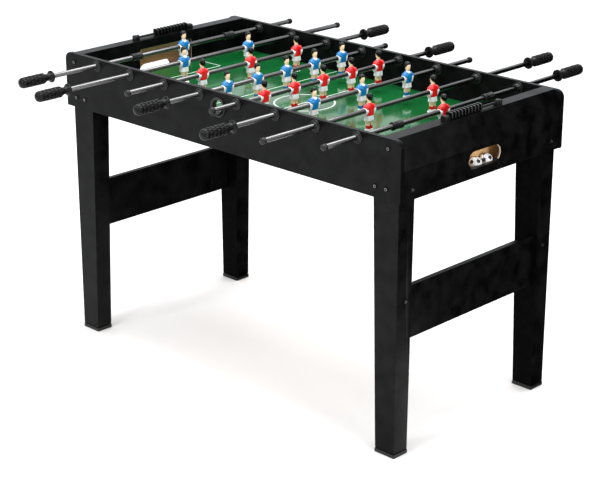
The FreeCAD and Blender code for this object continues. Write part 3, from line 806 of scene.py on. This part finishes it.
# %% [markdown]
# ## Players
# A player is a little moulded figure clamped on the rod: bare head, shirt with a V collar
# and short sleeves, a white boss on each side round the rod, shorts, two legs, socks and
# boots. It is built as rows of rounded outlines stacked up the body, because that gives a
# clean line wherever one paint meets another.

# %% Helpers for stacked outlines


def outline_point(row, a, grow=0.0):
    """A point of a rounded outline (z, forward, half depth, half width, squareness)."""
    z, forward, half_depth, half_width, squareness = row
    c, s = math.cos(a), math.sin(a)
    x = forward + (half_depth + grow) * math.copysign(abs(c) ** (2.0 / squareness), c)
    y = (half_width + grow) * math.copysign(abs(s) ** (2.0 / squareness), s)
    return x, y, z


def row_at(rows, z):
    """The outline at any height, blended smoothly between the given rows."""
    for low, high in zip(rows, rows[1:]):
        if z <= high[0] or high is rows[-1]:
            t = min(1.0, max(0.0, (z - low[0]) / (high[0] - low[0])))
            return (z, *(p + (q - p) * t for p, q in zip(low[1:], high[1:])))


def smooth_rows(rows, steps=3):
    """More rows in between, on a curve through the given ones."""
    result = []
    for i in range(len(rows) - 1):
        around = (rows[max(i - 1, 0)], rows[i], rows[i + 1], rows[min(i + 2, len(rows) - 1)])
        for k in range(steps):
            t = k / steps
            result.append(tuple(0.5 * (2 * b + (c - a) * t + (2 * a - 5 * b + 4 * c - d) * t * t
                                       + (3 * b - a - 3 * c + d) * t ** 3) for a, b, c, d in zip(*around)))
    return result + [rows[-1]]


def close_ends(bm, rings, finish=0):
    for ring in (rings[0], rings[-1]):
        bm.faces.new(ring).material_index = finish


def stack(bm, rows, finish, side=0.0, segments=32, shape=None):
    """Join rows of outlines into one closed shell; side moves it along the rod."""
    rings = []
    for row in rows:
        ring = []
        for a in angles(segments):
            x, y, z = outline_point(row, a)
            if shape:
                x, y, z = shape(x, y, z)
            ring.append(bm.verts.new((x, y + side, z)))
        rings.append(ring)
    join_rings(bm, rings, finish)
    close_ends(bm, rings, finish)


SHIRT, WHITE, SKIN, HAIR, LIP = range(5)
print("stacking helpers ready")

# %% Shirt, shorts, legs and boots
SHIRT_ROWS = smooth_rows([
    (-12.8, 0.0, 7.6, 11.4, 2.6), (-12.4, 0.0, 8.8, 12.5, 2.6), (-10.5, 0.0, 9.1, 12.7, 2.6),
    (-5.0, 0.2, 9.2, 13.0, 2.5), (1.0, 0.6, 9.6, 14.0, 2.4), (6.5, 0.6, 9.6, 14.6, 2.4),
    (10.8, 0.3, 8.8, 14.2, 2.3), (14.0, 0.0, 7.5, 12.0, 2.2), (16.4, 0.0, 6.0, 8.4, 2.1),
    (18.6, 0.0, 4.6, 5.0, 2.0)])
SHORTS_ROWS = smooth_rows([
    (-11.4, 0.0, 8.3, 11.8, 2.6), (-14.5, 0.0, 8.7, 12.1, 2.6), (-19.5, 0.0, 8.9, 12.4, 2.7),
    (-24.0, 0.2, 9.3, 12.9, 2.8), (-25.4, 0.2, 9.4, 13.1, 2.8), (-26.1, 0.2, 8.8, 12.5, 2.8),
    (-25.2, 0.2, 7.2, 11.0, 2.6)])
LEG_ROWS = smooth_rows([
    (-23.0, 0.0, 6.6, 4.6, 2.3), (-28.0, 0.1, 6.4, 4.5, 2.2), (-33.0, 0.6, 6.5, 4.3, 2.2),
    (-37.0, 0.2, 6.0, 4.2, 2.2), (-40.5, 0.0, 5.7, 4.1, 2.2)])
SOCK_ROWS = smooth_rows([
    (-38.4, 0.0, 5.9, 4.1, 2.2), (-38.8, 0.0, 6.4, 4.5, 2.3), (-40.6, 0.0, 6.4, 4.5, 2.3),
    (-41.2, 0.0, 6.1, 4.3, 2.3), (-44.5, -0.3, 6.0, 4.3, 2.3), (-48.5, -0.4, 5.9, 4.2, 2.3)])
BOOT_ROWS = smooth_rows([
    (-46.6, -0.6, 5.8, 4.1, 2.3), (-47.2, -0.6, 6.5, 4.5, 2.3), (-49.0, -0.4, 6.8, 4.6, 2.3),
    (-51.0, 0.8, 8.8, 4.7, 2.3), (-53.2, 1.6, 10.2, 4.8, 2.4), (-54.2, 1.7, 10.5, 4.8, 2.4),
    (-54.4, 1.7, 10.9, 4.9, 2.4), (-55.6, 1.7, 10.9, 4.9, 2.4), (-56.0, 1.7, 10.4, 4.5, 2.4)])
LEG_SIDE = 4.5
COLLAR_HEIGHT, COLLAR_DIP, COLLAR_TURN = 17.8, 5.0, 0.8


def crease(x, y, z):
    """The shorts dip in the middle, front and back, more toward the hem."""
    dip = 1.6 * max(0.0, (-z - 14.5) / 11.5) * math.exp(-(y / 2.2) ** 2)
    return x - math.copysign(min(dip, abs(x)), x), y, z


def from_front(a):
    """How far an angle is from straight ahead, from 0 to pi."""
    return abs(math.atan2(math.sin(a), math.cos(a)))


def collar_height(a):
    return COLLAR_HEIGHT - COLLAR_DIP * max(0.0, 1.0 - from_front(a) / COLLAR_TURN)


def add_clothes(bm):
    stack(bm, SHIRT_ROWS, SHIRT, segments=48)
    for face in bm.faces:
        centre = face.calc_center_median()
        if centre.x > 0 and centre.z > collar_height(math.atan2(centre.y, centre.x)):
            face.material_index = WHITE
    stack(bm, SHORTS_ROWS, WHITE, segments=64, shape=crease)
    for side in (-LEG_SIDE, LEG_SIDE):
        stack(bm, LEG_ROWS, SKIN, side)
        stack(bm, SOCK_ROWS, SHIRT, side)
        stack(bm, BOOT_ROWS, WHITE, side)


print("rows in the shirt:", len(SHIRT_ROWS), "and in the shorts:", len(SHORTS_ROWS))

# %% [markdown]
# ### Head
# The head is one closed shell. Its rows bend to follow the hairline, so the hair can
# stand proud of the skin with a clean step. The face is a plain doll's: dots for eyes, a
# small nose and a short lip.

# %% Head and face
HEAD_ROWS = smooth_rows([
    (19.2, 1.7, 2.0, 2.1, 2.0), (19.8, 1.6, 3.9, 3.5, 2.0), (21.6, 1.3, 5.6, 4.5, 2.1),
    (24.6, 1.0, 6.8, 5.5, 2.1), (28.2, 0.6, 7.6, 6.1, 2.1), (32.2, 0.3, 8.0, 6.4, 2.1),
    (36.0, 0.0, 7.7, 6.2, 2.0), (39.3, -0.2, 6.4, 5.2, 2.0), (41.6, -0.3, 4.1, 3.4, 2.0),
    (42.5, -0.3, 1.2, 1.0, 2.0)], 4)
NECK_ROWS = [(16.5, 0.2, 4.2, 4.1, 2.0), (20.5, 0.4, 4.2, 4.0, 2.0), (23.0, 0.6, 3.8, 3.6, 2.0)]
HAIR_THICKNESS = 0.75


def hairline(a):
    """Height of the hair's edge: high at the forehead, lower at the ears, lowest behind."""
    turn = from_front(a) / math.pi
    if turn < 0.33:
        return 36.2 - 1.2 * turn / 0.33
    if turn < 0.5:
        return 35.0 - 6.6 * (turn - 0.33) / 0.17
    return 28.4 - 5.0 * (turn - 0.5) / 0.5


def head_point(a, z, grow):
    x, y, z = outline_point(row_at(HEAD_ROWS, z), a, grow)
    if x > 0:
        nose = 1.5 * math.exp(-(y / 1.2) ** 2 - ((z - 29.0) / 1.8) ** 2)
        brow = 0.5 * math.exp(-(y / 4.0) ** 2 - ((z - 32.9) / 1.1) ** 2)
        socket = 0.5 * math.exp(-((abs(y) - 2.6) / 1.3) ** 2 - ((z - 30.8) / 1.2) ** 2)
        x = x + nose + brow - socket
    return x, y, z


def add_head(bm):
    turns, low_rows, high_rows = angles(56), 22, 16
    bottom, top = HEAD_ROWS[0][0], HEAD_ROWS[-1][0]
    skin = [[head_point(a, bottom + (hairline(a) - bottom) * k / low_rows, 0.0) for a in turns]
            for k in range(low_rows + 1)]
    hair = [[head_point(a, hairline(a) + 0.05 + (top - hairline(a)) * (k / high_rows), HAIR_THICKNESS)
             for a in turns] for k in range(high_rows + 1)]
    rings = [[bm.verts.new(point) for point in ring] for ring in skin + hair]
    join_rings(bm, rings[:low_rows + 1], SKIN)
    join_rings(bm, rings[low_rows:], HAIR)
    bm.faces.new(rings[0]).material_index = SKIN
    bm.faces.new(rings[-1]).material_index = HAIR
    stack(bm, NECK_ROWS, SKIN, segments=24)


def bead_on_face(bm, centre, radii, finish):
    """A small rounded blob, for an eye, an ear or a lip."""
    made = bmesh.ops.create_uvsphere(bm, u_segments=14, v_segments=8, radius=1.0)
    place = Matrix.Translation(centre) @ Matrix.Diagonal((*radii, 1.0))
    bmesh.ops.transform(bm, matrix=place, verts=made["verts"])
    for vert in made["verts"]:
        for face in vert.link_faces:
            face.material_index = finish


def add_face(bm):
    for side in (-1, 1):
        bead_on_face(bm, (7.5, side * 2.5, 30.8), (0.45, 1.0, 0.65), WHITE)
        bead_on_face(bm, (7.85, side * 2.4, 30.8), (0.3, 0.5, 0.5), HAIR)
        bead_on_face(bm, (7.75, side * 2.5, 32.5), (0.35, 1.3, 0.3), HAIR)
        bead_on_face(bm, (-0.3, side * 6.3, 30.2), (1.5, 0.8, 2.1), SKIN)
    bead_on_face(bm, (7.6, 0.0, 25.6), (0.5, 1.5, 0.4), LIP)


print("head rows:", len(HEAD_ROWS))

# %% [markdown]
# ### Collar, sleeves and rod bosses
# The V collar is a narrow white band on the front of the shirt that sinks in at the
# shoulders. Each sleeve is a short rounded cap over the white boss, which runs down into
# the hand at the hip.

# %% Collar, sleeves and bosses
SLEEVE_ROWS = smooth_rows([
    (4.6, 0.3, 6.6, 3.4, 2.3), (4.0, 0.3, 7.9, 4.4, 2.4), (6.0, 0.3, 8.0, 4.5, 2.4),
    (8.5, 0.2, 7.6, 4.4, 2.3), (11.0, 0.0, 6.6, 3.9, 2.2), (13.2, 0.0, 4.5, 2.8, 2.1),
    (14.4, 0.0, 1.5, 1.0, 2.0)])
SLEEVE_SIDE = 12.4


def add_collar(bm):
    segments, rings = 64, []
    for rise, lift in ((-0.8, -0.5), (-0.6, 0.25), (0.5, 0.3), (0.7, -0.5)):
        ring = []
        for a in angles(segments):
            z = collar_height(a) + rise
            grow = lift if math.cos(a) > 0.45 else -0.6
            ring.append(bm.verts.new(outline_point(row_at(SHIRT_ROWS, z), a, grow)))
        rings.append(ring)
    join_rings(bm, closed(rings), WHITE)


def boss_outline(steps=40):
    """Teardrop around the rod: a large circle above joined to a small one at the hip."""
    top, bottom, drop = 8.0, 5.0, 9.0
    lean = math.asin((top - bottom) / drop)
    points = []
    for i in range(steps):
        a = -lean + (math.pi + 2 * lean) * i / (steps - 1)
        points.append((top * math.cos(a), top * math.sin(a)))
    for i in range(steps // 2):
        a = math.pi + lean + (math.pi - 2 * lean) * (i + 1) / (steps // 2 + 1)
        points.append((1.0 + bottom * math.cos(a), -drop + bottom * math.sin(a)))
    return points


def add_arm(bm, side):
    outline = boss_outline()
    rings = []
    for y, scale in ((10.0, 1.0), (15.8, 1.0), (16.7, 0.96), (17.3, 0.86), (17.5, 0.72)):
        rings.append([bm.verts.new((x * scale, side * y, z * scale)) for x, z in outline])
    join_rings(bm, rings, WHITE)
    close_ends(bm, rings, WHITE)
    stack(bm, SLEEVE_ROWS, SHIRT, side * SLEEVE_SIDE)


def player_mesh(team):
    bm = bmesh.new()
    add_clothes(bm)
    add_head(bm)
    add_face(bm)
    add_collar(bm)
    for side in (-1, 1):
        add_arm(bm, side)
    paints = [team_paint[team], white_paint, skin_paint, hair_paint, lip_paint]
    return finished_mesh("player_" + team, bm, paints)


print("collar and sleeves ready")

# %% Put the players on their rods
players = {team: player_mesh(team) for team in ("blue", "red")}
COUNTS = (1, 2, 3, 5, 5, 3, 2, 1)
BLUE_RODS = (1, 2, 4, 6)
alone_low, alone_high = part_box("players_1")
width = (alone_high.y - alone_low.y) / MM
for number, count in enumerate(COUNTS, 1):
    low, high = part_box("players_%d" % number)
    team = "blue" if number in BLUE_RODS else "red"
    for i in range(count):
        share = i / (count - 1) if count > 1 else 0.5
        y = (low.y / MM + width / 2) * (1 - share) + (high.y / MM - width / 2) * share
        put("player_%d_%d" % (number, i + 1), players[team], "rod_%d_team" % number,
            ["players_%d" % number], on_rod(number, y))
print("faces in one player:", len(players["blue"].polygons))

# %% [markdown]
# ## Scorers
# On each end rail stands a counting rack: a grooved post with an arched collar at each
# end, a bar between them, and ten plates that slide along it, one for each goal. Each
# plate is a square with round corners, on a narrow hub, that stands mostly above the bar.

# %% Shape a counting plate
PLATES, PLATE_THICK, PLATE_HEIGHT = 10, 9.0, 18.4
PLATE_CORNERS, PLATE_SQUARENESS = 28, 4.0
HUB_RADIUS, HUB_BORE = 5.0, 3.25
GLOSS, MATT = range(2)


def plate_mesh(width, rise):
    """One plate and its hub, bored for the bar; rise lifts its middle above the bar."""
    bm = bmesh.new()
    turns = angles(PLATE_CORNERS, 0.5)

    def outline(y, inset):
        row = (y, 0.0, width / 2 - inset, PLATE_HEIGHT / 2 - inset, PLATE_SQUARENESS)
        points = [outline_point(row, a) for a in turns]
        return [bm.verts.new((across, along, rise + up)) for across, up, along in points]

    def circle(y, radius):
        return [bm.verts.new((radius * math.cos(a), y, radius * math.sin(a))) for a in turns]

    half = [(circle, 0.0, HUB_BORE), (circle, 0.0, HUB_RADIUS), (circle, 2.2, HUB_RADIUS),
            (outline, 2.3, 0.9), (outline, 2.6, 0.25), (outline, 3.0, 0.0)]
    rings = [draw(y, size) for draw, y, size in half]
    rings += [draw(PLATE_THICK - y, size) for draw, y, size in reversed(half)]
    join_rings(bm, rings[:4], MATT)
    join_rings(bm, rings[3:9], GLOSS)
    join_rings(bm, rings[8:] + rings[:1], MATT)
    return finished_mesh("scorer_plate", bm, [bead_black, bead_matt], False)


print("plates on a rack:", PLATES)

# %% Shape a rack
BAR_ABOVE_RAIL, BAR_RADIUS, BAR_START = 5.9, 3.1, 8.0


def arch_ring(bm, y, half_width, height, top_radius, steps=6):
    """One outline across a post at y: flat foot, upright sides and a rounded top."""
    points = [(-half_width, 0.0)]
    for turn, cx in ((math.pi, -half_width + top_radius), (math.pi / 2, half_width - top_radius)):
        for i in range(steps + 1):
            a = turn - math.pi / 2 * i / steps
            points.append((cx + top_radius * math.cos(a), height - top_radius + top_radius * math.sin(a)))
    points.append((half_width, 0.0))
    return [bm.verts.new((x, y, z)) for x, z in points]


def rack_mesh(length):
    """Both posts and the bar of one rack, standing on z = 0 with its front end at y = 0."""
    bm = bmesh.new()
    post = [(0.0, 8.2, 11.7, 3.5), (0.6, 9.0, 12.5, 4.0), (2.6, 9.0, 12.5, 4.0), (3.1, 8.0, 11.5, 3.5),
            (4.1, 8.0, 11.5, 3.5), (4.6, 9.0, 12.5, 4.0), (8.4, 9.0, 12.5, 4.0), (9.0, 8.4, 12.0, 3.8),
            (9.2, 6.0, 12.0, 5.8), (10.4, 6.0, 12.0, 5.8), (10.8, 7.0, 13.2, 6.9), (15.3, 7.0, 13.2, 6.9),
            (16.0, 6.2, 12.4, 6.1)]
    for start, way in ((0.0, 1), (length, -1)):
        rings = [arch_ring(bm, start + way * y, w, h, r) for y, w, h, r in post]
        join_rings(bm, rings)
        close_ends(bm, rings)
    post_verts = set(bm.verts)
    bar_end = length - BAR_START
    turned(bm, [(BAR_START, 0.0), (BAR_START, BAR_RADIUS), (bar_end, BAR_RADIUS), (bar_end, 0.0)], 24)
    bar = [vert for vert in bm.verts if vert not in post_verts]
    bmesh.ops.translate(bm, verts=bar, vec=(0.0, 0.0, BAR_ABOVE_RAIL))
    return finished_mesh("scorer_rack", bm, [moulded_black], False)


print("bar radius in mm:", BAR_RADIUS)

# %% Stand the racks on the rails
PLATE_FOOT_GAP = 0.3
plate_rise = PLATE_HEIGHT / 2 + PLATE_FOOT_GAP - BAR_ABOVE_RAIL
for side in ("left", "right"):
    low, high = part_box("scorer_beads_" + side)
    rack_low, rack_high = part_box("scorer_frame_" + side)
    bar_x, bar_z = (low.x + high.x) / 2 / MM, rack_low.z / MM + BAR_ABOVE_RAIL
    rack = rack_mesh((rack_high.y - rack_low.y) / MM)
    put("scorer_rack_" + side, rack, "cabinet", ["scorer_frame_" + side],
        Matrix.Translation((bar_x * MM, rack_low.y, rack_low.z)))
    pitch = ((high.y - low.y) / MM - PLATE_THICK) / (PLATES - 1)
    plate = plate_mesh((high.x - low.x) / MM, plate_rise)
    for i in range(PLATES):
        put("scorer_plate_%s_%d" % (side, i + 1), plate, "scorer_beads_" + side,
            ["scorer_beads_" + side], at((bar_x, low.y / MM + i * pitch, bar_z)))
print("scorer plates:", 2 * PLATES)

# %% [markdown]
# ## Balls
# The balls are little footballs: twelve black five-sided spots among white six-sided ones,
# with a fine groove along every seam. Cutting the corners off a twenty-sided solid gives
# that pattern.

# %% Make the balls
BALL_RADIUS, SEAM_DEPTH = 16.5, 0.25
SEAM_WIDTH = 0.014  # on a ball of radius 1, before it is made round


def ball_mesh():
    bm = bmesh.new()
    bmesh.ops.create_icosphere(bm, subdivisions=1, radius=1.0)
    bmesh.ops.bevel(bm, geom=list(bm.verts), offset=33.33, offset_type="PERCENT", segments=1,
                    affect="VERTICES")
    panels = list(bm.faces)
    for face in panels:
        face.material_index = 1 if len(face.verts) == 5 else 0
    bmesh.ops.inset_individual(bm, faces=panels, thickness=SEAM_WIDTH, use_even_offset=True)
    for face in bm.faces:
        if face not in panels:
            face.material_index = 1
    seam_points = {v for v in bm.verts if not any(face in panels for face in v.link_faces)}
    bmesh.ops.poke(bm, faces=panels)
    for _ in range(3):
        bmesh.ops.subdivide_edges(bm, edges=list(bm.edges), cuts=1, use_grid_fill=True)
    for vert in bm.verts:
        vert.co = vert.co.normalized() * (BALL_RADIUS - (SEAM_DEPTH if vert in seam_points else 0.0))
    return finished_mesh("ball", bm, [ball_white, ball_black])


ball = ball_mesh()
for number, turn in ((1, (0.4, 0.9, 0.2)), (2, (1.3, 0.3, 1.9))):
    low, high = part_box("ball_%d" % number)
    place = Matrix.Translation((low + high) / 2) @ Matrix.Rotation(turn[0], 4, "X")
    place = place @ Matrix.Rotation(turn[1], 4, "Y") @ Matrix.Rotation(turn[2], 4, "Z")
    put("football_%d" % number, ball, "ball_%d" % number, ["ball_%d" % number], place)
print("ball faces:", len(ball.polygons))

# %% [markdown]
# ## Bolts
# Everything is held by the same black pan-head bolts: domed, with a hexagon socket whose
# rim is bright metal as a painted highlight, on a dull plastic washer that keeps the head
# off the foil.
# One turned mesh of each serves all twenty.

# %% Make the bolts
SOCKET = 2.6


def bolt_mesh():
    bm = bmesh.new()

    def hexagon(y, radius, a):
        if radius > SOCKET + 0.01:
            return radius
        part = (a + math.pi / 6) % (math.pi / 3) - math.pi / 6
        return radius * math.cos(math.pi / 6) / math.cos(part)
    turned(bm, [(18.0, 0.0), (18.0, 2.6), (17.0, 3.0), (0.0, 3.0), (0.0, 5.3), (-0.3, 5.5), (-1.4, 5.45),
                (-2.6, 4.8), (-3.4, 3.6), (-3.6, 2.9), (-3.5, SOCKET), (-1.6, SOCKET), (-1.6, 0.0)],
           48, hexagon)
    # faces round the socket get the bright metal, a painted highlight
    for face in bm.faces:
        centre = face.calc_center_median()
        if centre.y < -3.0 and math.hypot(centre.x, centre.z) < 3.4:
            face.material_index = 1
    return finished_mesh("bolt", bm, [screw_black, socket_highlight])


def washer_mesh():
    bm = bmesh.new()
    turned(bm, closed([(0.0, 3.3), (0.0, 7.0), (-0.4, 7.2), (-0.8, 6.9), (-1.0, 5.4), (-1.0, 3.3)]), 48)
    return finished_mesh("washer", bm, [bead_matt])


bolt, washer = bolt_mesh(), washer_mesh()
PANEL_BOLTS = ((567.0, 786.0), (563.0, 688.0), (528.5, 688.0))
END_BOLTS = ((603.0, 267.0, 686.0), (591.0, 268.0, 405.0))
bolts = []
for sx in (-1, 1):
    for sy in (-1, 1):
        bolts += [((sx * x, sy * PANEL_OUTSIDE, z), (0, -sy, 0)) for x, z in PANEL_BOLTS]
        bolts += [((sx * x, sy * y, z), (-sx, 0, 0)) for x, y, z in END_BOLTS]
for i, (point, direction) in enumerate(bolts):
    turn = Vector((0, 1, 0)).rotation_difference(Vector(direction)).to_matrix().to_4x4()
    spin = Matrix.Rotation(0.7 * i, 4, "Y")
    for name, shape in (("bolt", bolt), ("washer", washer)):
        put("%s_%02d" % (name, i + 1), shape, "cabinet", ["fasteners"],
            at(point) @ turn @ spin)
print("bolts:", len(bolts))

# %% [markdown]
# ## Last checks
# The detailed model should stay as large as the solids, so the largest change between the
# two boxes is printed.

# %% Compare the sizes and finish
seen_box = [list(corner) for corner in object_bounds()]
change = max(abs(a - b) for c, v in zip(cad_box, seen_box) for a, b in zip(c, v))
print("largest change of the box in mm:", round(change / MM, 2))
